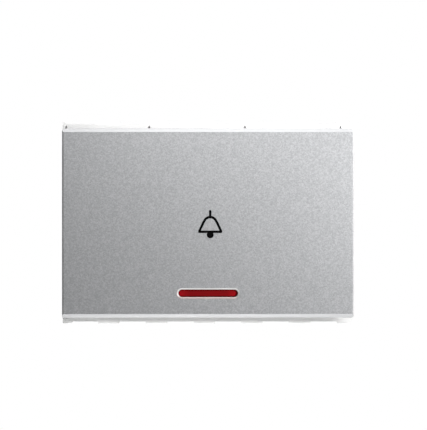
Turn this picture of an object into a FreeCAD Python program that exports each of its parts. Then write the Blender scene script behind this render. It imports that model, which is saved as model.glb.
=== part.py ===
# Doorbell push button: a three-module snap-in wall unit with a wide silver press key,
# a red indicator strip and a sprung make contact behind it.
# Millimetres. X runs to the right, Y runs into the wall, Z runs up.
# The origin is the centre of the snap-in opening, on the seat plane where the castellated
# flange lands on the wall support. The key's face is in front of it, at negative Y.

import FreeCAD
import Part
import math
import os

V = FreeCAD.Vector

# Module grid of the wall support
module_pitch = 22.5
module_count = 3
support_thickness = 2.0

# Chassis outline: collar, castellated flange, deck and snap skirt
collar_side_lap = 0.55
chassis_width = module_count * module_pitch + 2 * collar_side_lap
chassis_height = 46.4
chassis_corner = 1.5

# Silver key plate
key_side_margin = 0.7
key_end_margin = 1.3
key_width = chassis_width - 2 * key_side_margin
key_height = chassis_height - 2 * key_end_margin
key_front = 9.0
key_wall = 1.6
key_skirt_wall = 1.3
key_depth = 3.6
key_corner = 0.45
long_bevel_rise = 0.92
long_bevel_run = 1.05
long_bevel_bulge = 0.03
end_bevel = 0.35
key_press_angle = 3.0

# Clips that hold the key plate on its carrier
clip_x = 17.0
clip_top_z = 12.5
clip_bottom_z = -12.5
clip_width = 3.2
clip_leg = 1.1
clip_barb = 0.55
clip_reach = 0.95
clip_seat_gap = 0.02

# Indicator window and lens
slot_rise = 5.8
slot_z = slot_rise - key_height / 2
slot_length = 13.79
slot_height = 1.76
slot_chamfer = 0.32
slot_chamfer_depth = 0.18
slot_shift_x = 0.1
slot_shift_z = -0.12
lens_recess = 0.42
lens_fit = 0.06
lens_end_gap = 0.35
lens_edge_round = 0.3
lens_flange_lip = 1.1
lens_flange = 0.9
guide_width = 6.4
guide_height = 2.6
guide_end_width = 3.4
guide_end_height = 2.2
guide_end = 0.4
lamp_window_length = 6.6
lamp_window_height = 4.2
guide_gap = 0.12

# Key carrier
carrier_fit = 0.15
carrier_pad = 0.5
carrier_wall = 1.2
carrier_rim = 1.0
carrier_rim_rise = 1.0
carrier_rib = 0.9
carrier_rib_rise = 0.8
carrier_rib_x = module_pitch / 2
carrier_top_rib_z = 8.2
carrier_low_rib_z = -8.2
pusher_rise = 1.1
pusher_size = 6.4

# Hinge of the key, along X near the top edge
hinge_drop = 3.2
hinge_z = key_height / 2 - hinge_drop
hinge_depth = 2.8
hinge_pin_radius = 1.1
hinge_clearance = 0.08
hinge_boss_radius = 1.7
hinge_arm_inset = 8.6
hinge_arm_x = key_width / 2 - hinge_arm_inset
hinge_arm = 1.8
hinge_block = 3.0
hinge_side_gap = 0.3

# Hooks that hold the key down against its spring
hook_inset = 5.4
hook_x = key_width / 2 - hook_inset
hook_width = 3.6
hook_leg = 1.2
hook_rise = 2.9
hook_leg_z = hook_rise - key_height / 2
hook_catch = 1.0
hook_nose = 1.3
hook_rest_gap = 0.05
hook_window_gap = 0.5

# Chassis sections
collar_front = 3.0
collar_wall = 1.6
deck_front = 1.0
deck_rear = 0.8
tooth_width = 5.06
tooth_rise = 0.55
tooth_front = 2.2
tooth_row_shift = -0.86
tooth_edge = 0.1
index_notch_half = 0.6
index_notch_shift = 8.7
index_notch_inset = 1.0
index_notch_skin = 0.2
index_notch_depth = 2.0
skirt_side_inset = 1.6
skirt_end_inset = 1.1
skirt_width = chassis_width - 2 * skirt_side_inset
skirt_height = chassis_height - 2 * skirt_end_inset
skirt_wall = 1.4
skirt_depth = 4.7
tongue_width = 6.0
tongue_slot = 0.8
barb_rise = 0.8
barb_play = 0.1
barb_lead = 0.05
deck_rib = 1.0
deck_rib_gap = 0.6
deck_rib_rise = 2.3
deck_rib_z = 12.8

# Mechanism housing, behind the lower half of the deck
plunger_rise = 14.1
plunger_z = slot_z + plunger_rise
pocket_half = 4.0
pocket_corner = 0.4
housing_above_pocket = 3.6
housing_below_slot = 3.7
housing_top = plunger_z + pocket_half + housing_above_pocket
housing_bottom = slot_z - housing_below_slot
housing_wall = 1.4
housing_corner = 1.2
tray_depth = 7.2
tray_floor = 1.4
lamp_rib_drop = 5.9
lamp_rib_z = plunger_z - lamp_rib_drop
lamp_rib = 1.0

# Cover of the housing, with the guide sleeve of the plunger
cover_thickness = 1.6
cover_fit = 0.1
sleeve_wall = 1.4
sleeve_front = 2.4
sleeve_window_gap = 0.2
post_gap = 0.3

# Plunger
plunger_size = 5.0
plunger_fit = 0.1
plunger_tip_gap = 0.1
plunger_tip_round = 6.0
plunger_stop_gap = 0.2
plunger_flange = 1.2
plunger_flange_size = 8.4
stem_radius = 1.5

# Moving contact bridge on the plunger
contact_spring_length = 3.8
bridge_width = 4.6
bridge_thickness = 0.6
bridge_hole_fit = 0.15
button_x = 5.8
button_radius = 1.3
button_thickness = 0.6
button_edge = 0.2
bridge_end = 0.5
bridge_half_length = button_x + button_radius + bridge_end
retainer_radius = 2.3
retainer_thickness = 1.2
retainer_fit = 0.02

# Fixed contacts and terminal strips
closed_clearance = 0.05
fixed_button_thickness = 0.7
strip_thickness = 1.0
strip_arm_width = 4.6
strip_arm_lap = 0.2
strip_arm_inner_x = button_x - button_radius - strip_arm_lap
strip_bend = 0.5
strip_wall_gap = 0.1
pad_half_height = 4.5
pad_lap = 0.5
collar_thread_radius = 2.7
collar_thread_length = 1.8
chamber_end_gap = 1.8
chamber_half_width = bridge_half_length + chamber_end_gap
chamber_half_height = 4.6
tower_inner_wall = 2.1
tower_outer_wall = 2.0
terminal_x = chamber_half_width + tower_inner_wall + pocket_half
housing_half_width = terminal_x + pocket_half + tower_outer_wall

# Return spring
spring_room = 7.0
spring_seat_gap = 0.05
spring_wire = 0.3
spring_steps = 12
spring_sides = 6
spring_dead_turns = 0.75
spring_dead_gap = 0.04
spring_radius = 2.35
spring_turns = 6.0
spring_boss_radius = 1.7
spring_boss_rise = 1.2
contact_wire = 0.22
contact_spring_radius = 2.15
contact_spring_turns = 3.5

# Terminal screws and clamps
wire_gap = 2.4
clamp_thickness = 1.0
clamp_fit = 0.15
clamp_groove = 0.3
screw_radius = 1.7
screw_fit = 0.05
screw_length = 6.2
screw_head_radius = 2.9
screw_head_height = 2.0
screw_slot = 0.8
screw_slot_depth = 1.1
screw_cross = 3.2
screw_edge = 0.5
screw_recess = 0.8

# Wire entries in the top of each terminal tower
wire_entry_shift = 2.85
wire_entry_radius = 1.1
funnel_radius = 2.0
funnel_depth = 1.5

# Indicator lamp and its parts
link_gap = 0.5
link_x = chamber_half_width + link_gap
board_end = 2.5
board_half_width = link_x + board_end
board_bottom_gap = 0.2
board_height = 7.5
board_front = 3.6
board_thickness = 1.0
board_rest = 1.2
led_width = 3.2
led_height = 2.8
led_thickness = 1.6
led_end_gap = 1.6
led_side_gap = 0.4
led_cup_radius = 1.1
led_cup_floor = 0.8
led_cup_depth = 0.4
part_rise = 3.7
part_z = slot_z + part_rise
part_x = 4.6
part_lift = 0.25
resistor_radius = 1.15
resistor_length = 6.0
diode_radius = 1.0
diode_length = 4.2
lead_radius = 0.3
lead_overhang = 0.8
lead_bend = 0.5
link_bend = 1.0
part_edge = 0.3
lead_stub = 0.5
lead_hole_fit = 0.1
link_lap = 1.0

# Screws that hold the housing to the chassis
ear_reach = 2.8
ear_upper_rise = 3.5
ear_lower_rise = 4.1
ear_x = housing_half_width + ear_reach
ear_upper_z = plunger_z + ear_upper_rise
ear_lower_z = slot_z + ear_lower_rise
ear_radius = 2.3
ear_thickness = 1.8
boss_radius = 2.2
boss_front = 3.6
boss_skin = 0.4
tapping_radius = 1.0
tapping_fit = 0.05
tapping_tip_gap = 0.3
tapping_head_radius = 2.0
tapping_head_height = 1.4
tapping_slot = 0.6
tapping_cross = 2.4
tapping_depth = 0.7
tapping_edge = 0.35

# How far joined shapes reach into each other, and cutting shapes run past
join_lap = 0.2
cut_past = 1.0

# Places along Y that follow from the sizes above
face_y = -key_front
key_inner_y = face_y + key_wall
key_skirt_y = face_y + key_depth
carrier_front_y = key_inner_y + carrier_pad
carrier_rear_y = carrier_front_y + carrier_wall
hinge_y = -hinge_depth
deck_front_y = -deck_front
collar_front_y = -collar_front
cover_front_y = deck_rear
cover_rear_y = cover_front_y + cover_thickness
pusher_y = carrier_rear_y + pusher_rise
plunger_tip_y = pusher_y + plunger_tip_gap
flange_front_y = cover_rear_y + plunger_stop_gap
flange_rear_y = flange_front_y + plunger_flange
bridge_front_y = flange_rear_y + contact_spring_length
bridge_rear_y = bridge_front_y + bridge_thickness
button_rear_y = bridge_rear_y + button_thickness
retainer_rear_y = bridge_rear_y + retainer_thickness
spring_seat_y = retainer_rear_y + spring_room
plunger_travel = (hinge_z - plunger_z) * math.radians(key_press_angle)
fixed_face_y = button_rear_y + plunger_travel + closed_clearance
arm_front_y = fixed_face_y + fixed_button_thickness
arm_rear_y = arm_front_y + strip_thickness
pad_rear_y = deck_rear + tray_depth
pad_front_y = pad_rear_y - strip_thickness
clamp_front_y = pad_rear_y + wire_gap
clamp_rear_y = clamp_front_y + clamp_thickness
head_rear_y = clamp_rear_y + screw_head_height
tower_rear_y = head_rear_y + screw_recess
tray_rear_y = pad_rear_y + tray_floor
centre_rear_y = spring_seat_y + housing_wall

# Places across the face that follow from the sizes above
chassis_half_width = chassis_width / 2
chassis_half_height = chassis_height / 2
carrier_half_width = key_width / 2 - key_skirt_wall - carrier_fit
carrier_half_height = key_height / 2 - key_skirt_wall - carrier_fit
tray_half_width = housing_half_width - housing_wall
tray_top = housing_top - housing_wall
tray_bottom = housing_bottom + housing_wall
board_bottom = tray_bottom + board_bottom_gap
board_top = board_bottom + board_height
pad_outer_x = terminal_x + pocket_half + pad_lap
tower_inner_x = chamber_half_width
tower_bottom = plunger_z - pocket_half - housing_wall
sleeve_half = plunger_size / 2 + plunger_fit + sleeve_wall
lens_inner_y = key_inner_y + lens_flange


def block(x0, x1, y0, y1, z0, z1):
    """Rectangular solid between limits."""
    return Part.makeBox(x1 - x0, y1 - y0, z1 - z0, V(x0, y0, z0))


def plate(half_width, half_height, y0, y1, corner, x=0.0, z=0.0):
    """Rounded rectangle in the XZ plane, centred on (x, z) and extruded from y0 to y1."""
    solid = block(x - half_width, x + half_width, y0, y1, z - half_height, z + half_height)
    upright = [e for e in solid.Edges if abs(e.tangentAt(e.FirstParameter).y) > 0.99]
    return solid.makeFillet(corner, upright)


def rod_y(x, z, radius, y0, y1):
    """Round rod along Y."""
    return Part.makeCylinder(radius, y1 - y0, V(x, y0, z), V(0, 1, 0))


def hole_y(x, z, radius, y0, y1):
    """Round cutting rod along Y that runs past both ends."""
    return rod_y(x, z, radius, y0 - cut_past, y1 + cut_past)


def rod_x(y, z, radius, x0, x1):
    """Round rod along X."""
    return Part.makeCylinder(radius, x1 - x0, V(x0, y, z), V(1, 0, 0))


def rod_z(x, y, radius, z0, z1):
    """Round rod along Z."""
    return Part.makeCylinder(radius, z1 - z0, V(x, y, z0), V(0, 0, 1))


def stadium_wire(length, height, y, z):
    """Slot outline with round ends, centred on X = 0."""
    end = height / 2
    reach = length / 2 - end
    return Part.Wire(
        [
            Part.LineSegment(V(-reach, y, z - end), V(reach, y, z - end)).toShape(),
            Part.Arc(V(reach, y, z - end), V(reach + end, y, z), V(reach, y, z + end)).toShape(),
            Part.LineSegment(V(reach, y, z + end), V(-reach, y, z + end)).toShape(),
            Part.Arc(V(-reach, y, z + end), V(-reach - end, y, z), V(-reach, y, z - end)).toShape(),
        ]
    )


def stadium(length, height, y0, y1, z):
    """Solid slot shape along Y."""
    return Part.Face(stadium_wire(length, height, y0, z)).extrude(V(0, y1 - y0, 0))


def prism(points, direction):
    """Solid swept from a closed outline along a direction."""
    return Part.Face(Part.makePolygon(points + points[:1])).extrude(direction)


def coil(wire_radius, coil_radius, turns, y0, y1, z):
    """Compression spring along Y with closed ends; its six-sided wire keeps it light."""
    low = y0 + wire_radius + spring_seat_gap
    high = y1 - wire_radius - spring_seat_gap
    dead_rise = (2 * wire_radius + spring_dead_gap) * spring_dead_turns
    live_turns = turns - 2 * spring_dead_turns
    live_pitch = (high - low - 2 * dead_rise) / live_turns
    sections = []
    for step in range(int(turns * spring_steps) + 1):
        turned = step / spring_steps
        below = min(turned, spring_dead_turns)
        above = max(turned - turns + spring_dead_turns, 0.0)
        live = turned - below - above
        y = low + (below + above) * dead_rise / spring_dead_turns + live * live_pitch
        angle = 2 * math.pi * turned
        corners = []
        for side in range(spring_sides):
            around = 2 * math.pi * side / spring_sides
            reach = coil_radius + wire_radius * math.cos(around)
            rise = wire_radius * math.sin(around)
            corners.append(V(reach * math.cos(angle), y + rise, z + reach * math.sin(angle)))
        sections.append(Part.makePolygon(corners + corners[:1]))
    return Part.makeLoft(sections, True, True)


def mirrored(shape):
    """The same shape on the other side of X = 0."""
    return shape.mirror(V(0, 0, 0), V(1, 0, 0))


def both_sides(shape):
    """The shape and its mirror image, fused."""
    return shape.fuse(mirrored(shape))


def make_key_plate():
    """Silver press plate: a shell with bevelled long edges, the indicator slot and four clips."""
    top = key_height / 2
    shoulder = top - long_bevel_rise
    shoulder_y = face_y + long_bevel_run
    lean = math.hypot(long_bevel_rise, long_bevel_run)
    crown_z = top - long_bevel_rise / 2 + long_bevel_bulge * long_bevel_run / lean
    crown_y = face_y + long_bevel_run / 2 - long_bevel_bulge * long_bevel_rise / lean
    x0 = -key_width / 2
    section = Part.Wire(
        [
            Part.LineSegment(V(x0, face_y, -shoulder), V(x0, face_y, shoulder)).toShape(),
            Part.Arc(V(x0, face_y, shoulder), V(x0, crown_y, crown_z), V(x0, shoulder_y, top)).toShape(),
            Part.LineSegment(V(x0, shoulder_y, top), V(x0, key_skirt_y, top)).toShape(),
            Part.LineSegment(V(x0, key_skirt_y, top), V(x0, key_skirt_y, -top)).toShape(),
            Part.LineSegment(V(x0, key_skirt_y, -top), V(x0, shoulder_y, -top)).toShape(),
            Part.Arc(V(x0, shoulder_y, -top), V(x0, crown_y, -crown_z), V(x0, face_y, -shoulder)).toShape(),
        ]
    )
    body = Part.Face(section).extrude(V(key_width, 0, 0))
    upright = [
        e
        for e in body.Edges
        if abs(e.tangentAt(e.FirstParameter).y) > 0.99 and e.Length > key_depth / 2
    ]
    body = body.makeFillet(key_corner, upright)
    ends = [
        e
        for e in body.Edges
        if e.BoundBox.YMax < face_y + 0.01 and abs(e.tangentAt(e.FirstParameter).z) > 0.99
    ]
    body = body.makeChamfer(end_bevel, ends)
    hollow = plate(
        key_width / 2 - key_skirt_wall,
        key_height / 2 - key_skirt_wall,
        key_inner_y,
        key_skirt_y + cut_past,
        key_corner,
    )
    slot = stadium(slot_length, slot_height, face_y - cut_past, key_inner_y + cut_past, slot_z)
    mouth = Part.makeLoft(
        [
            stadium_wire(slot_length + 2 * slot_chamfer, slot_height + 2 * slot_chamfer, face_y, slot_z),
            stadium_wire(slot_length, slot_height, face_y + slot_chamfer_depth, slot_z),
        ],
        True,
    )
    slot = slot.fuse(mouth)
    slot.translate(V(slot_shift_x, 0, slot_shift_z))
    body = body.cut(hollow).cut(slot)
    for z, turn in ((clip_top_z, 1), (clip_bottom_z, -1)):
        body = body.fuse(both_sides(clip(z, turn)))
    return body.removeSplitter()


def clip(z, turn):
    """One clip leg of the key plate, with its barb behind the carrier turned up or down."""
    barb_y = carrier_rear_y + clip_seat_gap
    nose_y = barb_y + clip_reach
    edge = z + turn * clip_leg / 2
    back = z - turn * clip_leg / 2
    outline = [
        V(clip_x - clip_width / 2, key_inner_y - join_lap, back),
        V(clip_x - clip_width / 2, key_inner_y - join_lap, edge),
        V(clip_x - clip_width / 2, barb_y, edge),
        V(clip_x - clip_width / 2, barb_y, edge + turn * clip_barb),
        V(clip_x - clip_width / 2, nose_y, edge - turn * clip_leg / 4),
        V(clip_x - clip_width / 2, nose_y, back),
    ]
    return prism(outline, V(clip_width, 0, 0))


def make_indicator_lens():
    """Red lens: a bar in the slot, a flange behind the plate and a tapered light guide."""
    front_y = face_y + lens_recess
    bar_length = slot_length - 2 * lens_fit - lens_end_gap
    bar_height = slot_height - 2 * lens_fit
    bar = stadium(bar_length, bar_height, front_y, key_inner_y + join_lap, slot_z)
    bar = bar.makeFillet(lens_edge_round, [e for e in bar.Edges if e.BoundBox.YMax < front_y + 0.01])
    bar.translate(V(slot_shift_x - lens_end_gap / 2, 0, slot_shift_z))
    flange = stadium(
        slot_length + 2 * lens_flange_lip,
        slot_height + 2 * lens_flange_lip,
        key_inner_y,
        lens_inner_y,
        slot_z,
    )
    guide = Part.makeLoft(
        [
            stadium_wire(guide_width, guide_height, lens_inner_y - join_lap, slot_z),
            stadium_wire(guide_end_width, guide_end_height, -guide_end, slot_z),
        ],
        True,
    )
    return bar.fuse([flange, guide]).removeSplitter()


def make_key_carrier():
    """White frame behind the key plate: ribbed plate, hinge arms with pins, pusher and hooks."""
    base = plate(carrier_half_width, carrier_half_height, carrier_front_y, carrier_rear_y, key_corner)
    front_rim = plate(carrier_half_width, carrier_half_height, key_inner_y, carrier_front_y, key_corner)
    front_rim = front_rim.cut(
        plate(
            carrier_half_width - carrier_rim,
            carrier_half_height - carrier_rim,
            key_inner_y - cut_past,
            carrier_front_y + cut_past,
            key_corner,
        )
    )
    rim_y = carrier_rear_y + carrier_rim_rise
    rear_rim = plate(carrier_half_width, carrier_half_height, carrier_rear_y, rim_y, key_corner)
    rear_rim = rear_rim.cut(
        plate(
            carrier_half_width - carrier_rim,
            carrier_half_height - carrier_rim,
            carrier_rear_y - cut_past,
            rim_y + cut_past,
            key_corner,
        )
    )
    body = base.fuse([front_rim, rear_rim])
    rib_y = carrier_rear_y + carrier_rib_rise
    inside = carrier_half_height - carrier_rim / 2
    upright_rib = block(
        carrier_rib_x - carrier_rib / 2,
        carrier_rib_x + carrier_rib / 2,
        key_inner_y,
        rib_y,
        -inside,
        inside,
    )
    body = body.fuse(both_sides(upright_rib))
    side = carrier_half_width - carrier_rim / 2
    for z in (carrier_top_rib_z, carrier_low_rib_z):
        body = body.fuse(block(-side, side, key_inner_y, rib_y, z - carrier_rib / 2, z + carrier_rib / 2))
    pusher = plate(pusher_size / 2, pusher_size / 2, carrier_rear_y, pusher_y, key_corner, 0, plunger_z)
    body = body.fuse([pusher, both_sides(hinge_arm_solid()), both_sides(hook_solid())])
    flange_room = stadium(
        slot_length + 2 * lens_flange_lip + 2 * lens_fit,
        slot_height + 2 * lens_flange_lip + 2 * lens_fit,
        key_inner_y - cut_past,
        lens_inner_y,
        slot_z,
    )
    guide_room = stadium(
        guide_width + 2 * guide_gap,
        guide_height + 2 * guide_gap,
        key_inner_y - cut_past,
        carrier_rear_y + cut_past,
        slot_z,
    )
    body = body.cut(flange_room).cut(guide_room)
    gap = carrier_fit
    for z, turn in ((clip_top_z, 1), (clip_bottom_z, -1)):
        low = z - turn * (clip_leg / 2 + gap)
        high = z + turn * (clip_leg / 2 + gap)
        window = block(
            clip_x - clip_width / 2 - gap,
            clip_x + clip_width / 2 + gap,
            key_inner_y - cut_past,
            carrier_rear_y + cut_past,
            min(low, high),
            max(low, high),
        )
        body = body.cut(both_sides(window))
    return body.removeSplitter()


def hinge_arm_solid():
    """Arm that carries one hinge pin, pointing inwards at the chassis block."""
    outer_x = hinge_arm_x + hinge_arm
    arm = block(
        hinge_arm_x,
        outer_x,
        carrier_rear_y - join_lap,
        hinge_y,
        hinge_z - hinge_boss_radius,
        hinge_z + hinge_boss_radius,
    )
    eye = rod_x(hinge_y, hinge_z, hinge_boss_radius, hinge_arm_x, outer_x)
    pin = rod_x(
        hinge_y,
        hinge_z,
        hinge_pin_radius,
        hinge_arm_x - hinge_block,
        hinge_arm_x + join_lap,
    )
    return arm.fuse([eye, pin])


def hook_solid():
    """Hook that passes the deck and stops the key in its rest position."""
    catch_y = deck_rear + hook_rest_gap
    tip_y = catch_y + hook_nose
    low = hook_leg_z - hook_leg / 2
    high = hook_leg_z + hook_leg / 2
    x0 = hook_x - hook_width / 2
    outline = [
        V(x0, carrier_rear_y - join_lap, low),
        V(x0, carrier_rear_y - join_lap, high),
        V(x0, catch_y, high),
        V(x0, catch_y, high + hook_catch),
        V(x0, catch_y + hook_nose / 3, high + hook_catch),
        V(x0, tip_y, high - hook_leg / 2),
        V(x0, tip_y, low),
    ]
    return prism(outline, V(hook_width, 0, 0))


def tooth_centres():
    """X places of the castellations, half a module apart, that reach into the flange's width."""
    pitch = module_pitch / 2
    count = int(chassis_half_width / pitch) + 1
    return [tooth_row_shift + pitch * n for n in range(-count, count + 1)]


def make_chassis():
    """White mounting frame: collar, castellated flange, deck, snap skirt, hinge blocks and bosses."""
    body = plate(chassis_half_width, chassis_half_height, collar_front_y, 0, chassis_corner)
    inner_half_width = chassis_half_width - collar_wall
    inner_half_height = chassis_half_height - collar_wall
    inner_corner = chassis_corner / 2
    inside = plate(inner_half_width, inner_half_height, collar_front_y - cut_past, cut_past, inner_corner)
    body = body.cut(inside)
    body = body.fuse(castellations())
    skirt = plate(skirt_width / 2, skirt_height / 2, -tooth_front / 2, skirt_depth, inner_corner)
    skirt = skirt.cut(
        plate(
            skirt_width / 2 - skirt_wall,
            skirt_height / 2 - skirt_wall,
            -tooth_front,
            skirt_depth + cut_past,
            inner_corner,
        )
    )
    front_deck = plate(
        inner_half_width + join_lap, inner_half_height + join_lap, deck_front_y, 0, inner_corner
    )
    rear_deck = plate(
        skirt_width / 2 - join_lap, skirt_height / 2 - join_lap, deck_front_y, deck_rear, inner_corner
    )
    body = body.fuse([skirt, front_deck, rear_deck])
    for n in range(module_count):
        x = module_pitch * (n - (module_count - 1) / 2)
        body = cut_tongue(body, x)
    body = body.fuse(deck_ribs())
    body = body.fuse(both_sides(hinge_block_solid()))
    body = body.cut(both_sides(hinge_bore()))
    for z in (ear_upper_z, ear_lower_z):
        boss = rod_y(ear_x, z, boss_radius, -boss_front, deck_front_y + join_lap)
        pilot = rod_y(ear_x, z, tapping_radius + tapping_fit, -boss_front + boss_skin, deck_rear + cut_past)
        body = body.fuse(both_sides(boss)).cut(both_sides(pilot))
    opening = sleeve_half + sleeve_window_gap
    through = (deck_front_y - cut_past, deck_rear + cut_past)
    body = body.cut(plate(opening, opening, *through, key_corner, 0, plunger_z))
    lamp_window = stadium(lamp_window_length, lamp_window_height, *through, slot_z)
    body = body.cut(lamp_window).cut(both_sides(hook_window()))
    return cut_index_notches(body).removeSplitter()


def castellations():
    """Teeth along the top and bottom of the flange, clipped to its width."""
    teeth = []
    half = tooth_width / 2
    for x in tooth_centres():
        left = max(x - half, -chassis_half_width + tooth_edge)
        right = min(x + half, chassis_half_width - chassis_corner / 2)
        if right - left > tooth_width / 4:
            root = chassis_half_height - collar_wall / 2
            tip = chassis_half_height + tooth_rise
            tooth = prism(
                [
                    V(left, -tooth_front, root),
                    V(left, -tooth_front, tip - tooth_edge),
                    V(left, -tooth_front + tooth_edge, tip),
                    V(left, 0, tip),
                    V(left, 0, root),
                ],
                V(right - left, 0, 0),
            )
            teeth += [tooth, tooth.mirror(V(0, 0, 0), V(0, 0, 1))]
    return teeth


def cut_tongue(body, x):
    """Frees a snap tongue in the top and bottom of the skirt at x, and adds its barb."""
    wall_outer = skirt_height / 2
    wall_inner = wall_outer - skirt_wall
    end_y = skirt_depth + cut_past
    half = tongue_width / 2
    barb_y = support_thickness + barb_play
    start = body
    for side in (1, -1):
        for edge in (-half - tongue_slot, half):
            low, high = sorted((side * (wall_inner - join_lap), side * (wall_outer + join_lap)))
            start = start.cut(block(x + edge, x + edge + tongue_slot, deck_rear, end_y, low, high))
        outline = [
            V(x - half, barb_y, side * (wall_outer - join_lap)),
            V(x - half, barb_y, side * (wall_outer + barb_rise)),
            V(x - half, barb_y + barb_rise / 2, side * (wall_outer + barb_rise)),
            V(x - half, skirt_depth, side * (wall_outer + barb_lead)),
            V(x - half, skirt_depth, side * (wall_outer - join_lap)),
        ]
        start = start.fuse(prism(outline, V(tongue_width, 0, 0)))
    return start


def deck_ribs():
    """Stiffening ribs on the back of the deck, above the housing."""
    ribs = []
    top = skirt_height / 2 - skirt_wall / 2
    bottom = housing_top + deck_rib_gap
    rear = deck_rear + deck_rib_rise
    side = skirt_width / 2 - skirt_wall / 2
    for n in range(module_count + 1):
        x = module_pitch * (n - module_count / 2)
        if abs(x) < side:
            ribs.append(block(x - deck_rib / 2, x + deck_rib / 2, 0, rear, bottom, top))
    ribs.append(block(-side, side, 0, rear, deck_rib_z - deck_rib / 2, deck_rib_z + deck_rib / 2))
    return ribs


def hinge_block_solid():
    """Bearing post for one hinge pin, on the front of the deck."""
    x1 = hinge_arm_x - hinge_side_gap
    x0 = x1 - hinge_block
    low = hinge_z - hinge_boss_radius
    post = block(x0, x1, hinge_y, deck_front_y + join_lap, low, hinge_z + hinge_boss_radius)
    return post.fuse(rod_x(hinge_y, hinge_z, hinge_boss_radius, x0, x1))


def hinge_bore():
    """Running bore of one hinge block."""
    x1 = hinge_arm_x - hinge_side_gap
    x0 = x1 - hinge_block
    return rod_x(hinge_y, hinge_z, hinge_pin_radius + hinge_clearance, x0 - cut_past, x1 + cut_past)


def hook_window():
    """Opening in the deck that a key hook passes."""
    return block(
        hook_x - hook_width / 2 - hook_window_gap,
        hook_x + hook_width / 2 + hook_window_gap,
        deck_front_y - cut_past,
        deck_rear + cut_past,
        hook_leg_z - hook_leg / 2 - hook_window_gap,
        hook_leg_z + hook_leg / 2 + hook_window_gap,
    )


def cut_index_notches(body):
    """Cuts the pointed index notches in the top rim, one for each module and one at the left end."""
    front = collar_front_y - cut_past
    root = chassis_half_height - collar_wall - join_lap
    tip = chassis_half_height - index_notch_skin
    places = [module_pitch * (n - (module_count - 1) / 2) + index_notch_shift for n in range(module_count)]
    places.append(-chassis_half_width + index_notch_inset)
    for x in places:
        left = x - index_notch_half
        right = x + index_notch_half
        corners = [V(left, front, root), V(right, front, root), V(x, front, tip)]
        body = body.cut(prism(corners, V(0, index_notch_depth + cut_past, 0)))
    return body


def ear_places():
    """Centres of the four housing ears, as X and Z."""
    return [(side * ear_x, z) for side in (-1, 1) for z in (ear_upper_z, ear_lower_z)]


def make_housing():
    """Moulded mechanism box: a tray, a centre tower for the contacts and two terminal towers."""
    mid_z = (housing_top + housing_bottom) / 2
    half_height = (housing_top - housing_bottom) / 2
    body = plate(housing_half_width, half_height, deck_rear, tray_rear_y, housing_corner, 0, mid_z)
    tower_mid_z = (housing_top + tower_bottom) / 2
    tower_half_height = (housing_top - tower_bottom) / 2
    tower_half_width = (housing_half_width - tower_inner_x) / 2
    tower_mid_x = (housing_half_width + tower_inner_x) / 2
    tower = plate(
        tower_half_width,
        tower_half_height,
        pad_rear_y,
        tower_rear_y,
        housing_corner,
        tower_mid_x,
        tower_mid_z,
    )
    centre = plate(
        chamber_half_width + housing_wall,
        chamber_half_height + housing_wall,
        pad_rear_y,
        centre_rear_y,
        housing_corner,
        0,
        plunger_z,
    )
    body = body.fuse([both_sides(tower), centre])
    for x, z in ear_places():
        ear = rod_y(x, z, ear_radius, deck_rear, deck_rear + ear_thickness)
        inner = housing_half_width - housing_wall / 2
        near, far = sorted((math.copysign(inner, x), x))
        web = block(near, far, deck_rear, deck_rear + ear_thickness, z - ear_radius, z + ear_radius)
        body = body.fuse([ear, web])
    tray_mid_z = (tray_top + tray_bottom) / 2
    tray_half_height = (tray_top - tray_bottom) / 2
    tray = plate(
        tray_half_width, tray_half_height, deck_rear - cut_past, pad_rear_y, housing_corner / 2, 0, tray_mid_z
    )
    chamber = plate(
        chamber_half_width,
        chamber_half_height,
        deck_rear - cut_past,
        spring_seat_y,
        housing_corner / 2,
        0,
        plunger_z,
    )
    pocket = plate(
        pocket_half,
        pocket_half,
        pad_rear_y - cut_past,
        tower_rear_y + cut_past,
        pocket_corner,
        terminal_x,
        plunger_z,
    )
    body = body.cut(tray).cut(chamber).cut(both_sides(pocket))
    body = body.fuse(both_sides(arm_pillar()))
    body = body.fuse(
        [rod_y(0, plunger_z, spring_boss_radius, spring_seat_y - spring_boss_rise, spring_seat_y + join_lap)]
    )
    rib_half = chamber_half_width - housing_wall
    lamp_wall = block(
        -rib_half,
        rib_half,
        cover_rear_y,
        pad_rear_y + join_lap,
        lamp_rib_z - lamp_rib / 2,
        lamp_rib_z + lamp_rib / 2,
    )
    rest = block(
        board_half_width - board_rest,
        board_half_width,
        board_front + board_thickness,
        pad_rear_y + join_lap,
        tray_bottom - join_lap,
        board_top,
    )
    body = body.fuse([lamp_wall, both_sides(rest)])
    for x, z in ear_places():
        body = body.cut(rod_y(x, z, tapping_radius + tapping_fit, 0, deck_rear + ear_thickness + cut_past))
    return body.cut(both_sides(wire_entry())).removeSplitter()


def arm_pillar():
    """Pillar that backs the contact arm of a terminal strip."""
    half = strip_arm_width / 2
    return block(
        strip_arm_inner_x,
        chamber_half_width + join_lap,
        arm_rear_y,
        spring_seat_y + join_lap,
        plunger_z - half,
        plunger_z + half,
    )


def wire_entry():
    """Round wire hole down into a terminal pocket, with a funnel at its mouth."""
    x = terminal_x + wire_entry_shift
    y = pad_rear_y + wire_gap / 2
    hole = rod_z(x, y, wire_entry_radius, plunger_z + pocket_half - join_lap, housing_top + cut_past)
    funnel = Part.makeCone(
        wire_entry_radius, funnel_radius, funnel_depth, V(x, y, housing_top - funnel_depth), V(0, 0, 1)
    )
    return hole.fuse(funnel)


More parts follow.
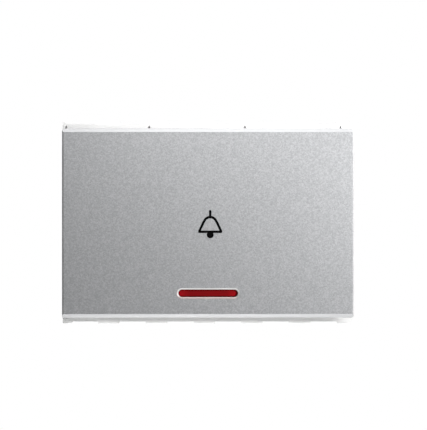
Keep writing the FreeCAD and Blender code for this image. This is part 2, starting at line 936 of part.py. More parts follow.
def make_mechanism_cover():
    """Plate that closes the housing, with the plunger's guide sleeve, lamp window and hold-down posts."""
    mid_z = (tray_top + tray_bottom) / 2
    half_height = (tray_top - tray_bottom) / 2 - cover_fit
    body = plate(
        tray_half_width - cover_fit, half_height, cover_front_y, cover_rear_y, housing_corner / 2, 0, mid_z
    )
    sleeve = plate(sleeve_half, sleeve_half, -sleeve_front, cover_rear_y, key_corner, 0, plunger_z)
    post_low = collar_thread_radius + post_gap
    post_z = (post_low + pad_half_height) / 2
    post_half = (pad_half_height - post_low) / 2
    posts = [
        both_sides(
            block(
                terminal_x - screw_radius,
                terminal_x + screw_radius,
                cover_rear_y - join_lap,
                pad_front_y,
                plunger_z + side * post_z - post_half,
                plunger_z + side * post_z + post_half,
            )
        )
        for side in (-1, 1)
    ]
    pad = block(
        board_half_width - board_rest,
        board_half_width,
        cover_rear_y - join_lap,
        board_front,
        board_bottom,
        board_top,
    )
    body = body.fuse([sleeve, *posts, both_sides(pad)])
    guide_half = plunger_size / 2 + plunger_fit
    bore = plate(
        guide_half,
        guide_half,
        -sleeve_front - cut_past,
        cover_rear_y + cut_past,
        key_corner + plunger_fit,
        0,
        plunger_z,
    )
    lamp_window = stadium(
        led_width + 2 * led_end_gap,
        led_height + 2 * led_side_gap,
        cover_front_y - cut_past,
        cover_rear_y + cut_past,
        slot_z,
    )
    return body.cut(bore).cut(lamp_window).removeSplitter()


def make_plunger():
    """Square plunger with a rounded tip, a stop flange and a round stem for the contact bridge."""
    half = plunger_size / 2
    stem = plate(half, half, plunger_tip_y, flange_rear_y, key_corner, 0, plunger_z)
    past = half + cut_past
    dome = rod_x(plunger_tip_y + plunger_tip_round, plunger_z, plunger_tip_round, -past, past)
    keep = dome.fuse(
        block(
            -past,
            past,
            plunger_tip_y + half,
            flange_rear_y,
            plunger_z - plunger_size,
            plunger_z + plunger_size,
        )
    )
    stem = stem.common(keep)
    flange = plate(
        plunger_flange_size / 2,
        plunger_flange_size / 2,
        flange_front_y,
        flange_rear_y,
        key_corner,
        0,
        plunger_z,
    )
    spindle = rod_y(0, plunger_z, stem_radius, flange_rear_y - join_lap, retainer_rear_y)
    return stem.fuse([flange, spindle]).removeSplitter()


def make_bridge_contact():
    """Sprung copper strip with rounded ends that bridges the two fixed contacts."""
    strip = stadium(2 * bridge_half_length, bridge_width, bridge_front_y, bridge_rear_y, plunger_z)
    return strip.cut(hole_y(0, plunger_z, stem_radius + bridge_hole_fit, bridge_front_y, bridge_rear_y))


def contact_button(x, base_y, face):
    """Silver contact with a bevelled rim, from its base at base_y to its face."""
    low, high = sorted((base_y, face))
    solid = rod_y(x, plunger_z, button_radius, low, high)
    return solid.makeChamfer(button_edge, edges_at_y(solid, face))


def edges_at_y(shape, y):
    """Edges that lie in the plane at y."""
    near = 0.001
    return [e for e in shape.Edges if abs(e.BoundBox.YMin - y) < near and abs(e.BoundBox.YMax - y) < near]


def make_bridge_retainer():
    """Push-on cap that keeps the bridge on the stem and seats the return spring."""
    cap = rod_y(0, plunger_z, retainer_radius, bridge_rear_y, retainer_rear_y)
    return cap.cut(hole_y(0, plunger_z, stem_radius + retainer_fit, bridge_rear_y, retainer_rear_y))


def make_strip():
    """Brass terminal strip: contact arm, riser and threaded terminal pad, bent from one sheet."""
    t = strip_thickness
    riser_x = chamber_half_width - strip_wall_gap
    outer = strip_bend + t
    z = plunger_z - strip_arm_width / 2
    turn = math.sqrt(0.5)
    bend_x = riser_x - outer
    bend_y = arm_rear_y - outer
    path = [
        Part.LineSegment(V(strip_arm_inner_x, arm_front_y, z), V(bend_x, arm_front_y, z)),
        Part.Arc(
            V(bend_x, arm_front_y, z),
            V(bend_x + strip_bend * turn, bend_y + strip_bend * turn, z),
            V(riser_x - t, bend_y, z),
        ),
        Part.LineSegment(V(riser_x - t, bend_y, z), V(riser_x - t, pad_front_y, z)),
        Part.LineSegment(V(riser_x - t, pad_front_y, z), V(pad_outer_x, pad_front_y, z)),
        Part.LineSegment(V(pad_outer_x, pad_front_y, z), V(pad_outer_x, pad_rear_y, z)),
        Part.LineSegment(V(pad_outer_x, pad_rear_y, z), V(riser_x, pad_rear_y, z)),
        Part.LineSegment(V(riser_x, pad_rear_y, z), V(riser_x, bend_y, z)),
        Part.Arc(
            V(riser_x, bend_y, z),
            V(bend_x + outer * turn, bend_y + outer * turn, z),
            V(bend_x, arm_rear_y, z),
        ),
        Part.LineSegment(V(bend_x, arm_rear_y, z), V(strip_arm_inner_x, arm_rear_y, z)),
        Part.LineSegment(V(strip_arm_inner_x, arm_rear_y, z), V(strip_arm_inner_x, arm_front_y, z)),
    ]
    band = Part.Face(Part.Wire([p.toShape() for p in path])).extrude(V(0, 0, strip_arm_width))
    pad_inner_x = chamber_half_width + strip_wall_gap
    pad_mid_x = (pad_inner_x + pad_outer_x) / 2
    pad_half_width = (pad_outer_x - pad_inner_x) / 2
    pad = plate(pad_half_width, pad_half_height, pad_front_y, pad_rear_y, strip_bend, pad_mid_x, plunger_z)
    collar_tip_y = pad_front_y - collar_thread_length
    collar = rod_y(terminal_x, plunger_z, collar_thread_radius, collar_tip_y, pad_front_y)
    hole_radius = screw_radius + screw_fit
    hole = hole_y(terminal_x, plunger_z, hole_radius, collar_tip_y, pad_rear_y)
    return band.fuse([pad, collar]).cut(hole).removeSplitter()


def make_clamp():
    """Square wire clamp under the terminal screw, with two grip grooves."""
    half = pocket_half - clamp_fit
    body = plate(half, half, clamp_front_y, clamp_rear_y, housing_corner / 2, terminal_x, plunger_z)
    body = body.cut(
        hole_y(terminal_x, plunger_z, screw_radius + clamp_fit, clamp_front_y, clamp_rear_y)
    )
    for side in (-1, 1):
        z = plunger_z + side * half / 2
        groove = prism(
            [
                V(terminal_x - half - cut_past, clamp_front_y, z - clamp_groove),
                V(terminal_x - half - cut_past, clamp_front_y, z + clamp_groove),
                V(terminal_x - half - cut_past, clamp_front_y + clamp_groove, z),
            ],
            V(2 * half + 2 * cut_past, 0, 0),
        )
        body = body.cut(groove)
    return body


def pan_head_screw(x, z, seat_y, shank_radius, shank_length, head_radius, head_height, edge):
    """Screw along Y with its head behind seat_y and its tip towards the front."""
    tip_y = seat_y - shank_length
    head = rod_y(x, z, head_radius, seat_y, seat_y + head_height)
    head = head.makeChamfer(edge, edges_at_y(head, seat_y + head_height))
    shank = rod_y(x, z, shank_radius, tip_y, seat_y)
    shank = shank.makeChamfer(edge, edges_at_y(shank, tip_y))
    return head.fuse(shank).removeSplitter()


def make_terminal_screw():
    """Terminal screw in the open position, with a slot and a short cross recess."""
    body = pan_head_screw(
        terminal_x,
        plunger_z,
        clamp_rear_y,
        screw_radius,
        screw_length,
        screw_head_radius,
        screw_head_height,
        screw_edge,
    )
    depth_y = head_rear_y - screw_slot_depth
    past_y = head_rear_y + cut_past
    long_half = screw_head_radius + cut_past
    cross_half = screw_cross / 2
    half = screw_slot / 2
    slot = block(
        terminal_x - half, terminal_x + half, depth_y, past_y, plunger_z - long_half, plunger_z + long_half
    )
    cross = block(
        terminal_x - cross_half,
        terminal_x + cross_half,
        depth_y,
        past_y,
        plunger_z - half,
        plunger_z + half,
    )
    return body.cut(slot).cut(cross)


def make_housing_screw(x, z):
    """Self-tapping screw through a housing ear into its boss."""
    seat_y = deck_rear + ear_thickness
    length = seat_y + boss_front - boss_skin - tapping_tip_gap
    body = pan_head_screw(
        x, z, seat_y, tapping_radius, length, tapping_head_radius, tapping_head_height, tapping_edge
    )
    top_y = seat_y + tapping_head_height
    reach = tapping_cross / 2
    half = tapping_slot / 2
    body = body.cut(block(x - reach, x + reach, top_y - tapping_depth, top_y + cut_past, z - half, z + half))
    return body.cut(
        block(x - half, x + half, top_y - tapping_depth, top_y + cut_past, z - reach, z + reach)
    )


def make_lamp_board():
    """Circuit board of the indicator, with holes for the leads of its parts."""
    mid_z = (board_bottom + board_top) / 2
    body = plate(
        board_half_width, board_height / 2, board_front, board_front + board_thickness, key_corner, 0, mid_z
    )
    board_rear = board_front + board_thickness
    for x in lead_places():
        body = body.cut(hole_y(x, part_z, lead_radius + lead_hole_fit, board_front, board_rear))
    return body


def lead_places():
    """X places of the holes in the lamp board."""
    resistor_half = resistor_length / 2 + lead_overhang
    diode_half = diode_length / 2 + lead_overhang
    return [
        -part_x - resistor_half,
        -part_x + resistor_half,
        part_x - diode_half,
        part_x + diode_half,
        -link_x,
        link_x,
    ]


def make_indicator_led():
    """Surface-mounted indicator light with a round lens window in its body."""
    half_height = led_height / 2
    rear = board_front
    front = board_front - led_thickness
    body = plate(led_width / 2, half_height, front, rear, key_corner / 2, 0, slot_z)
    cup = Part.makeCone(led_cup_radius, led_cup_floor, led_cup_depth, V(0, front, slot_z), V(0, 1, 0))
    return body.cut(cup)


def axial_part(x, radius, length):
    """Round component lying behind the board on two leads that pass through it."""
    y = board_front + board_thickness + part_lift + radius
    body = rod_x(y, part_z, radius, x - length / 2, x + length / 2)
    body = body.makeChamfer(part_edge, [e for e in body.Edges if e.BoundBox.XLength < part_edge])
    leads = []
    for side in (-1, 1):
        lead_x = x + side * (length / 2 + lead_overhang)
        start = V(x + side * (length / 2 - join_lap), y, part_z)
        corner = V(lead_x, y, part_z)
        end = V(lead_x, board_front - lead_stub, part_z)
        leads += bent_wire(start, corner, end, lead_bend)
    return body.fuse(leads)


def bent_wire(start, corner, end, bend):
    """Round lead of two straight runs with a quarter bend at the corner."""
    first = (corner - start).normalize()
    second = (end - corner).normalize()
    bend_start = corner - first * bend
    bend_end = corner + second * bend
    centre = bend_start + second * bend
    section = Part.Face(Part.Wire(Part.Circle(bend_start, first, lead_radius).toShape()))
    return [
        Part.makeCylinder(lead_radius, (bend_start - start).Length, start, first),
        section.revolve(centre, first.cross(second), 90),
        Part.makeCylinder(lead_radius, (end - bend_end).Length, bend_end, second),
    ]


def make_link():
    """Stiff link wire from the lamp board up to a terminal strip."""
    y = pad_front_y - lead_radius
    start = V(link_x, board_front - lead_stub, part_z)
    corner = V(link_x, y, part_z)
    end = V(link_x, y, plunger_z - pad_half_height + link_lap)
    runs = bent_wire(start, corner, end, link_bend)
    return runs[0].fuse(runs[1:])


def make_all():
    """Every piece by its name."""
    strip = make_strip()
    clamp = make_clamp()
    screw = make_terminal_screw()
    link = make_link()
    fixed = contact_button(button_x, arm_front_y, fixed_face_y)
    moving = contact_button(button_x, bridge_rear_y, button_rear_y)
    parts = {
        "key_plate": make_key_plate(),
        "indicator_lens": make_indicator_lens(),
        "key_carrier": make_key_carrier(),
        "chassis": make_chassis(),
        "housing": make_housing(),
        "mechanism_cover": make_mechanism_cover(),
        "plunger": make_plunger(),
        "bridge_contact": make_bridge_contact(),
        "bridge_retainer": make_bridge_retainer(),
        "contact_spring": coil(
            contact_wire,
            contact_spring_radius,
            contact_spring_turns,
            flange_rear_y,
            bridge_front_y,
            plunger_z,
        ),
        "return_spring": coil(
            spring_wire, spring_radius, spring_turns, retainer_rear_y, spring_seat_y, plunger_z
        ),
        "moving_contact_left": mirrored(moving),
        "moving_contact_right": moving,
        "fixed_contact_left": mirrored(fixed),
        "fixed_contact_right": fixed,
        "line_strip": mirrored(strip),
        "bell_strip": strip,
        "line_clamp": mirrored(clamp),
        "bell_clamp": clamp,
        "line_screw": mirrored(screw),
        "bell_screw": screw,
        "lamp_board": make_lamp_board(),
        "indicator_led": make_indicator_led(),
        "dropper_resistor": axial_part(-part_x, resistor_radius, resistor_length),
        "blocking_diode": axial_part(part_x, diode_radius, diode_length),
        "lamp_link_left": mirrored(link),
        "lamp_link_right": link,
    }
    for n, (x, z) in enumerate(ear_places()):
        parts[f"housing_screw_{n + 1}"] = make_housing_screw(x, z)
    return parts


def main():
    os.makedirs("parts", exist_ok=True)
    for name, shape in make_all().items():
        shape.exportStep(f"parts/{name}.step")
        print(f"{name}: {len(shape.Solids)} solid, {shape.Volume:.1f} mm3, valid {shape.isValid()}")


main()
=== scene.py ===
import math

import bpy
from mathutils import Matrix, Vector


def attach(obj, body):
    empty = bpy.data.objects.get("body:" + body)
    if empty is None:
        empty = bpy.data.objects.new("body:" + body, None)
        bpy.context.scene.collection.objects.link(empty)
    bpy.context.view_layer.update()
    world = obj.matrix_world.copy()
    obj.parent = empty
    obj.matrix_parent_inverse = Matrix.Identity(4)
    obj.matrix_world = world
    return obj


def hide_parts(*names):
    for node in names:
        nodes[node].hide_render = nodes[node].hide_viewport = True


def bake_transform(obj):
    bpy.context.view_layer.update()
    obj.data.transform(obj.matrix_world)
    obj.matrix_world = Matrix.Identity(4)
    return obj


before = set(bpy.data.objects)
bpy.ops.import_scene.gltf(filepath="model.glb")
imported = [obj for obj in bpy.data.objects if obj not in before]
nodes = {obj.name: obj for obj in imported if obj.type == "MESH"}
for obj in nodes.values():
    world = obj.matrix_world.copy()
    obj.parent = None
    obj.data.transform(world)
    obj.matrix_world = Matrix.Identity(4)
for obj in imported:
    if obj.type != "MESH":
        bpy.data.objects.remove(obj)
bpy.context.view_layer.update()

mm = 0.001
pureWhite = (1.0, 1.0, 1.0, 1.0)
fineWeld = 0.0005 * mm  # corners closer than this become one
threadWeld = 0.0008 * mm
sameHeight = 0.01 * mm


def clearSelection():
    if bpy.context.mode != "OBJECT":
        bpy.ops.object.mode_set(mode="OBJECT")
    bpy.ops.object.select_all(action="DESELECT")


def pick(piece):
    clearSelection()
    piece.select_set(True)
    bpy.context.view_layer.objects.active = piece


def namePiece(piece, name):
    piece.name = name
    piece.data.name = name
    return piece


def settle(piece):  # its place goes into its mesh
    pick(piece)
    bpy.ops.object.transform_apply(location=True, rotation=True, scale=True)


def selectWhere(piece, kind, test):  # the vertices, or the edges with both ends, that pass the test
    pick(piece)
    bpy.ops.object.mode_set(mode="EDIT")
    bpy.ops.mesh.select_mode(type=kind)
    bpy.ops.mesh.select_all(action="DESELECT")
    bpy.ops.object.mode_set(mode="OBJECT")
    points = piece.data.vertices
    if kind == "VERT":
        for point in points:
            point.select = test(point.co)
    else:
        for edge in piece.data.edges:
            edge.select = all(test(points[i].co) for i in edge.vertices)
    bpy.ops.object.mode_set(mode="EDIT")


def applyModifier(piece, kind, **settings):
    pick(piece)
    modifier = piece.modifiers.new(kind.title(), kind)
    for key, value in settings.items():
        setattr(modifier, key, value)
    bpy.ops.object.modifier_apply(modifier=modifier.name)


def combine(piece, other, operation):
    applyModifier(piece, "BOOLEAN", object=other, operation=operation, solver="EXACT")
    bpy.data.objects.remove(other)


def cleanMesh(piece, gap):
    pick(piece)
    bpy.ops.object.mode_set(mode="EDIT")
    bpy.ops.mesh.select_all(action="SELECT")
    bpy.ops.mesh.remove_doubles(threshold=gap)
    bpy.ops.mesh.normals_make_consistent(inside=False)
    bpy.ops.object.mode_set(mode="OBJECT")


def smoothPiece(piece, degrees):
    pick(piece)
    bpy.ops.object.shade_smooth_by_angle(angle=math.radians(degrees))


def copyPiece(piece, name, shift):
    pick(piece)
    bpy.ops.object.duplicate(linked=False)
    copy = namePiece(bpy.context.object, name)
    copy.location = shift
    settle(copy)
    return copy


def addCurve(points, kind):  # an open line from the first point to the last
    clearSelection()
    bpy.ops.curve.primitive_bezier_curve_add()
    line = bpy.context.object
    line.data.splines.clear()
    spline = line.data.splines.new(kind)
    if kind == "BEZIER":
        spline.bezier_points.add(len(points) - 1)
        for knot, point in zip(spline.bezier_points, points):
            knot.co = point
            knot.handle_left_type = "AUTO"
            knot.handle_right_type = "AUTO"
    else:
        spline.points.add(len(points) - 1)
        for knot, point in zip(spline.points, points):
            knot.co = (*point, 1.0)
    return line


def meshFromCurve(line):
    pick(line)
    bpy.ops.object.convert(target="MESH")
    return bpy.context.object


def addNode(tree, kind, values=None, **settings):
    node = tree.nodes.new(kind)
    for key, value in settings.items():
        setattr(node, key, value)
    for key, value in (values or {}).items():
        node.inputs[key].default_value = value
    return node


def reckon(tree, operation, first, second=0.0):
    node = addNode(tree, "ShaderNodeMath", operation=operation)
    for socket, value in zip(node.inputs, (first, second)):
        if isinstance(value, (int, float)):
            socket.default_value = value
        else:
            tree.links.new(value, socket)
    return node.outputs[0]


def seenRays(tree):  # 1 for what the camera sees, straight, mirrored or through glass
    rays = addNode(tree, "ShaderNodeLightPath")
    seen = reckon(tree, "MAXIMUM", rays.outputs["Is Camera Ray"], rays.outputs["Is Glossy Ray"])
    return reckon(tree, "MAXIMUM", seen, rays.outputs["Is Transmission Ray"])


def mixShaders(tree, factor, first, second):
    join = addNode(tree, "ShaderNodeMixShader")
    for socket, source in zip(join.inputs, (factor, first, second)):
        tree.links.new(source, socket)
    return join.outputs[0]


camera = {"place": (0.001325, -0.309, 0.001844), "lens": 108.97, "sensor": 36.0, "nearest": 0.01}

lamps = {
    "sideLamp": {
        "place": (0.0900, -0.0580, 0.0240), "aim": (0, -0.009, 0), "size": (0.040, 0.040), "power": 0.093,
    },
    "brightLamp": {
        "place": (0, -0.057, 0.063), "aim": (0, -0.009, 0), "size": (0.050, 0.050), "power": 0.0425,
    },
    "skyLamp": {
        "place": (0, -0.010, 0.200), "aim": (0, 0, 0), "size": (0.160, 0.160), "power": 0.24,
    },
    "lowLamp": {
        "place": (0.004, 0.002, -0.092), "aim": (0.001, -0.004, 0), "size": (0.120, 0.028), "power": 0.029,
    },
    "edgeLamp": {
        "place": (0.002, -0.008, -0.034), "aim": (0.002, -0.0073, 0), "size": (0.084, 0.002), "power": 0.0031,
    },
    "rearLamp": {
        "place": (-0.160, 0.240, 0.140), "aim": (0, 0.010, 0), "size": (0.160, 0.160), "power": 0.46,
    },
}

studio = {"white": 1.0, "ambient": 0.08}


def makeCamera():
    clearSelection()
    bpy.ops.object.camera_add(location=camera["place"], rotation=(math.radians(90), 0, 0))
    view = bpy.context.object
    view.name = "photoCamera"
    view.data.lens = camera["lens"]
    view.data.sensor_width = camera["sensor"]
    view.data.clip_start = camera["nearest"]
    bpy.context.scene.camera = view


def makeLamps():
    for name, lamp in lamps.items():
        clearSelection()
        bpy.ops.object.light_add(type="AREA", location=lamp["place"])
        light = bpy.context.object
        light.name = name
        light.data.shape = "RECTANGLE"
        light.data.size, light.data.size_y = lamp["size"]
        light.data.energy = lamp["power"]
        aim = Vector(lamp["aim"]) - Vector(lamp["place"])
        light.rotation_euler = aim.to_track_quat("-Z", "Y").to_euler()
        light.visible_camera = False


def makeWorld():
    world = bpy.data.worlds.new("paleStudio")
    bpy.context.scene.world = world
    world.use_nodes = True
    tree = world.node_tree
    tree.nodes.clear()
    room = addNode(tree, "ShaderNodeBackground", {"Color": pureWhite, "Strength": studio["ambient"]})
    backdrop = addNode(tree, "ShaderNodeBackground", {"Color": pureWhite, "Strength": studio["white"]})
    output = addNode(tree, "ShaderNodeOutputWorld")
    both = mixShaders(tree, seenRays(tree), room.outputs[0], backdrop.outputs[0])
    tree.links.new(both, output.inputs["Surface"])


def startFinish(name, finish):
    material = bpy.data.materials.new(name)
    material.use_nodes = True
    tree = material.node_tree
    shader = tree.nodes["Principled BSDF"]
    shader.inputs["Metallic"].default_value = finish.get("metal", 0.0)
    shader.inputs["IOR"].default_value = finish.get("ior", 1.5)
    shader.inputs["Coat Weight"].default_value = finish.get("coat", 0.0)
    shader.inputs["Specular IOR Level"].default_value = finish.get("gloss", 0.5)
    place = addNode(tree, "ShaderNodeTexCoord")
    return material, tree, shader, place.outputs["Object"]


def paint(tree, shader, colour, rough):
    tree.links.new(colour, shader.inputs["Base Color"])
    tree.links.new(rough, shader.inputs["Roughness"])


def stretch(tree, place, scale):  # draws a pattern out along an axis, or flattens it
    mapping = addNode(tree, "ShaderNodeMapping", {"Scale": scale})
    tree.links.new(place, mapping.inputs["Vector"])
    return mapping.outputs["Vector"]


def shiftPlace(tree, place, middle):
    shift = addNode(tree, "ShaderNodeVectorMath", operation="SUBTRACT")
    shift.inputs[1].default_value = middle
    tree.links.new(place, shift.inputs[0])
    return shift.outputs[0]


def splitAxes(tree, place):
    axes = addNode(tree, "ShaderNodeSeparateXYZ")
    tree.links.new(place, axes.inputs[0])
    return axes.outputs["X"], axes.outputs["Y"], axes.outputs["Z"]


def grain(tree, place, scale, detail=3.0):
    noise = addNode(tree, "ShaderNodeTexNoise", {"Scale": scale, "Detail": detail, "Roughness": 0.6})
    tree.links.new(place, noise.inputs["Vector"])
    return noise.outputs["Fac"]


def ramp(tree, source, stops):  # stops are (position, colour)
    node = addNode(tree, "ShaderNodeValToRGB")
    points = node.color_ramp.elements
    while len(points) < len(stops):
        points.new(0.5)
    for point, (position, colour) in zip(points, stops):
        point.position = position
        point.color = (*colour, 1.0)
    tree.links.new(source, node.inputs["Fac"])
    return node.outputs["Color"]


def twoTone(tree, mottle, shade, tone):
    return ramp(tree, mottle, ((0.30, shade), (0.70, tone)))


def dim(colour, share):
    return tuple(share * channel for channel in colour)


def rangeOf(tree, source, start, end, low=0.0, high=1.0):  # start becomes low and end becomes high
    values = {"From Min": start, "From Max": end, "To Min": low, "To Max": high}
    node = addNode(tree, "ShaderNodeMapRange", values)
    tree.links.new(source, node.inputs["Value"])
    return node.outputs["Result"]


def between(tree, pattern, low, high):
    return rangeOf(tree, pattern, 0.25, 0.75, low, high)


def weighted(tree, *parts):  # parts are (pattern, share)
    total = None
    for pattern, share in parts:
        part = reckon(tree, "MULTIPLY", pattern, share)
        total = part if total is None else reckon(tree, "ADD", total, part)
    return total


def blendColours(tree, factor, first, second):
    node = addNode(tree, "ShaderNodeMix", data_type="RGBA")
    for socket, value in zip((node.inputs[0], node.inputs[6], node.inputs[7]), (factor, first, second)):
        if isinstance(value, tuple):
            socket.default_value = (*value, 1.0)
        else:
            tree.links.new(value, socket)
    return node.outputs[2]


def roughen(tree, shader, height, strength, depth):
    bump = addNode(tree, "ShaderNodeBump", {"Strength": strength, "Distance": depth})
    tree.links.new(height, bump.inputs["Height"])
    tree.links.new(bump.outputs["Normal"], shader.inputs["Normal"])


plastics = {
    "whitePlastic": {
        "tone": (0.925, 0.925, 0.920), "shade": (0.905, 0.905, 0.898), "rough": (0.34, 0.44),
        "mottle": 420.0, "texture": 6500.0, "relief": 0.12, "gloss": 0.7,
    },
    "greyPlastic": {
        "tone": (0.600, 0.607, 0.615), "shade": (0.560, 0.567, 0.575), "rough": (0.42, 0.54),
        "mottle": 380.0, "texture": 5200.0, "relief": 0.25,
    },
    "plungerPlastic": {
        "tone": (0.720, 0.700, 0.640), "shade": (0.680, 0.660, 0.600), "rough": (0.30, 0.40),
        "mottle": 500.0, "texture": 7000.0, "relief": 0.10,
    },
    "bellPrint": {
        "tone": (0.0018, 0.0018, 0.002), "shade": (0.001, 0.001, 0.0012), "rough": (0.48, 0.60),
        "mottle": 2500.0, "texture": 9000.0, "relief": 0.10, "gloss": 0.04,
    },
}
plasticDepth = 0.02 * mm


def mouldedPlastic(name, finish):
    material, tree, shader, place = startFinish(name, finish)
    mottle = grain(tree, place, finish["mottle"])
    colour = twoTone(tree, mottle, finish["shade"], finish["tone"])
    paint(tree, shader, colour, between(tree, mottle, *finish["rough"]))
    roughen(tree, shader, grain(tree, place, finish["texture"]), finish["relief"], plasticDepth)
    return material


metals = {
    "copperAlloy": {
        "metal": 1.0, "tone": (0.800, 0.470, 0.300), "shade": (0.690, 0.370, 0.220), "rough": (0.22, 0.36),
        "draw": (0.08, 1.0, 1.0), "streaks": 5200.0, "cloud": 320.0, "relief": 0.20,
    },
    "springSteel": {
        "metal": 1.0, "tone": (0.640, 0.645, 0.660), "shade": (0.480, 0.485, 0.500), "rough": (0.20, 0.34),
        "draw": (1.0, 1.0, 1.0), "streaks": 5000.0, "cloud": 900.0, "relief": 0.10,
    },
    "contactSilver": {
        "metal": 1.0, "tone": (0.880, 0.875, 0.860), "shade": (0.740, 0.735, 0.715), "rough": (0.26, 0.40),
        "draw": (1.0, 1.0, 1.0), "streaks": 4200.0, "cloud": 700.0, "relief": 0.15,
    },
    "brass": {
        "metal": 1.0, "tone": (0.830, 0.620, 0.290), "shade": (0.690, 0.490, 0.200), "rough": (0.24, 0.40),
        "draw": (0.08, 1.0, 1.0), "streaks": 4800.0, "cloud": 300.0, "relief": 0.20,
    },
    "platedSteel": {
        "metal": 1.0, "tone": (0.760, 0.765, 0.770), "shade": (0.600, 0.605, 0.600), "rough": (0.26, 0.42),
        "draw": (1.0, 0.15, 1.0), "streaks": 4200.0, "cloud": 420.0, "relief": 0.18,
    },
    "tinnedWire": {
        "metal": 1.0, "tone": (0.780, 0.780, 0.770), "shade": (0.620, 0.620, 0.610), "rough": (0.24, 0.38),
        "draw": (1.0, 1.0, 1.0), "streaks": 4600.0, "cloud": 600.0, "relief": 0.15,
    },
}
streakShare = 0.6  # the rest of a metal's tone is its cloud
metalDepth = 0.01 * mm


def drawnMetal(name, finish):
    material, tree, shader, place = startFinish(name, finish)
    streaks = grain(tree, stretch(tree, place, finish["draw"]), finish["streaks"])
    cloud = grain(tree, place, finish["cloud"])
    tone = weighted(tree, (streaks, streakShare), (cloud, 1.0 - streakShare))
    colour = ramp(tree, tone, ((0.35, finish["shade"]), (0.65, finish["tone"])))
    paint(tree, shader, colour, between(tree, streaks, *finish["rough"]))
    roughen(tree, shader, streaks, finish["relief"], metalDepth)
    return material


silverLacquer = {
    "metal": 0.05, "gloss": 0.22, "rough": (0.40, 0.54), "relief": 0.07, "depth": 0.03 * mm,
    "flake": 4000.0, "flakeShare": 0.40, "cloud": 3000.0, "cloudShare": 0.30,
    "dust": 6400.0, "dustShare": 0.30, "dustDetail": 1.0,
    "tones": ((0.22, (0.333, 0.337, 0.346)), (0.50, (0.412, 0.417, 0.428)), (0.78, (0.515, 0.520, 0.530))),
    "slotMiddle": (0.1 * mm, 0.0, -16.22 * mm), "slotStraight": 6.015 * mm, "cutReach": 1.210 * mm,
    # cutPaintedShade and cutPaintedLight are painted shade and painted light on the cut edge, dark at its
    # bottom and bright at its top
    "cutPaintedShade": (0.250, 0.195, 0.188), "cutPaintedLight": (0.960, 0.940, 0.930), "cutMetal": 0.62, "cutRough": 0.50,
    "bevelFrom": 20.98 * mm, "bevelMetal": 0.30, "bevelTone": (0.435, 0.438, 0.446),
}


def flakePattern(tree, place, finish):  # the flakes alone, and the flakes in their cloud and dust
    cells = addNode(tree, "ShaderNodeTexVoronoi", {"Scale": finish["flake"]})
    tree.links.new(place, cells.inputs["Vector"])
    split = addNode(tree, "ShaderNodeSeparateColor")
    tree.links.new(cells.outputs["Color"], split.inputs["Color"])
    flake = split.outputs[0]
    cloud = grain(tree, place, finish["cloud"])
    dust = grain(tree, place, finish["dust"], finish["dustDetail"])
    parts = (cloud, finish["cloudShare"]), (dust, finish["dustShare"]), (flake, finish["flakeShare"])
    return flake, weighted(tree, *parts)


def slotEdge(tree, place, finish):  # where the cut edge round the slot is, and its colour: painted shade at its lower side, fading to painted light at its upper side
    across, _, up = splitAxes(tree, shiftPlace(tree, place, finish["slotMiddle"]))
    past = reckon(tree, "SUBTRACT", reckon(tree, "ABSOLUTE", across), finish["slotStraight"])
    past = reckon(tree, "MAXIMUM", past, 0.0)
    square = reckon(tree, "ADD", reckon(tree, "MULTIPLY", past, past), reckon(tree, "MULTIPLY", up, up))
    reach = finish["cutReach"]
    # painted light and shade: the cut edge blends from dark below the slot's middle to bright above it
    rise = rangeOf(tree, up, -reach, reach)
    colour = blendColours(tree, rise, finish["cutPaintedShade"], finish["cutPaintedLight"])
    return reckon(tree, "LESS_THAN", square, reach ** 2), colour


def lacquerFinish(name, finish):  # silver lacquer with fine flake, and a cut edge round the slot with painted light at its top and painted shade at its bottom
    material, tree, shader, place = startFinish(name, finish)
    flake, pattern = flakePattern(tree, place, finish)
    edge, paintedCutColour = slotEdge(tree, place, finish)
    height = splitAxes(tree, place)[2]
    bevel = reckon(tree, "GREATER_THAN", reckon(tree, "ABSOLUTE", height), finish["bevelFrom"])
    colour = blendColours(tree, bevel, ramp(tree, pattern, finish["tones"]), finish["bevelTone"])
    rough = between(tree, flake, *finish["rough"])
    smoother = reckon(tree, "MULTIPLY", edge, reckon(tree, "SUBTRACT", finish["cutRough"], rough))
    paint(tree, shader, blendColours(tree, edge, colour, paintedCutColour), reckon(tree, "ADD", rough, smoother))
    base = finish["metal"]
    metal = weighted(tree, (edge, finish["cutMetal"] - base), (bevel, finish["bevelMetal"] - base))
    tree.links.new(reckon(tree, "ADD", metal, base), shader.inputs["Metallic"])
    roughen(tree, shader, pattern, finish["relief"], finish["depth"])
    return material


redLens = {
    "ior": 1.49, "gloss": 0.07, "rough": (0.12, 0.20), "mottle": 700.0, "paintedGlow": (0.7, 1.0),
    # bright, bloom and glow set the painted light that makes the lens brighter red towards both ends
    "deep": (0.255, 0.0022, 0.0045), "paintedEndLight": (0.450, 0.0055, 0.0110), "half": 6.6 * mm, "paintedLightReach": 2.2 * mm,
}


def lensFinish(name, finish):  # deep red, with painted light making it a little brighter towards both ends
    material, tree, shader, place = startFinish(name, finish)
    along = reckon(tree, "ABSOLUTE", splitAxes(tree, place)[0])
    near = rangeOf(tree, along, finish["half"] - finish["paintedLightReach"], finish["half"])
    mottle = grain(tree, place, finish["mottle"])
    # painted light: a brighter red near both ends of the lens
    paintedGlow = reckon(tree, "MULTIPLY", near, between(tree, mottle, *finish["paintedGlow"]))
    colour = blendColours(tree, paintedGlow, finish["deep"], finish["paintedEndLight"])
    paint(tree, shader, colour, between(tree, mottle, *finish["rough"]))
    return material


boardGreen = {
    "mask": (0.020, 0.125, 0.050), "track": (0.035, 0.200, 0.080), "cut": (0.300, 0.270, 0.170),
    "front": 3.62 * mm, "rear": 4.58 * mm, "rough": (0.26, 0.36), "coat": 0.3, "mottle": 1500.0,
    "tracks": 330.0, "trackLevel": 0.62, "relief": 0.3, "depth": 0.02 * mm,
}


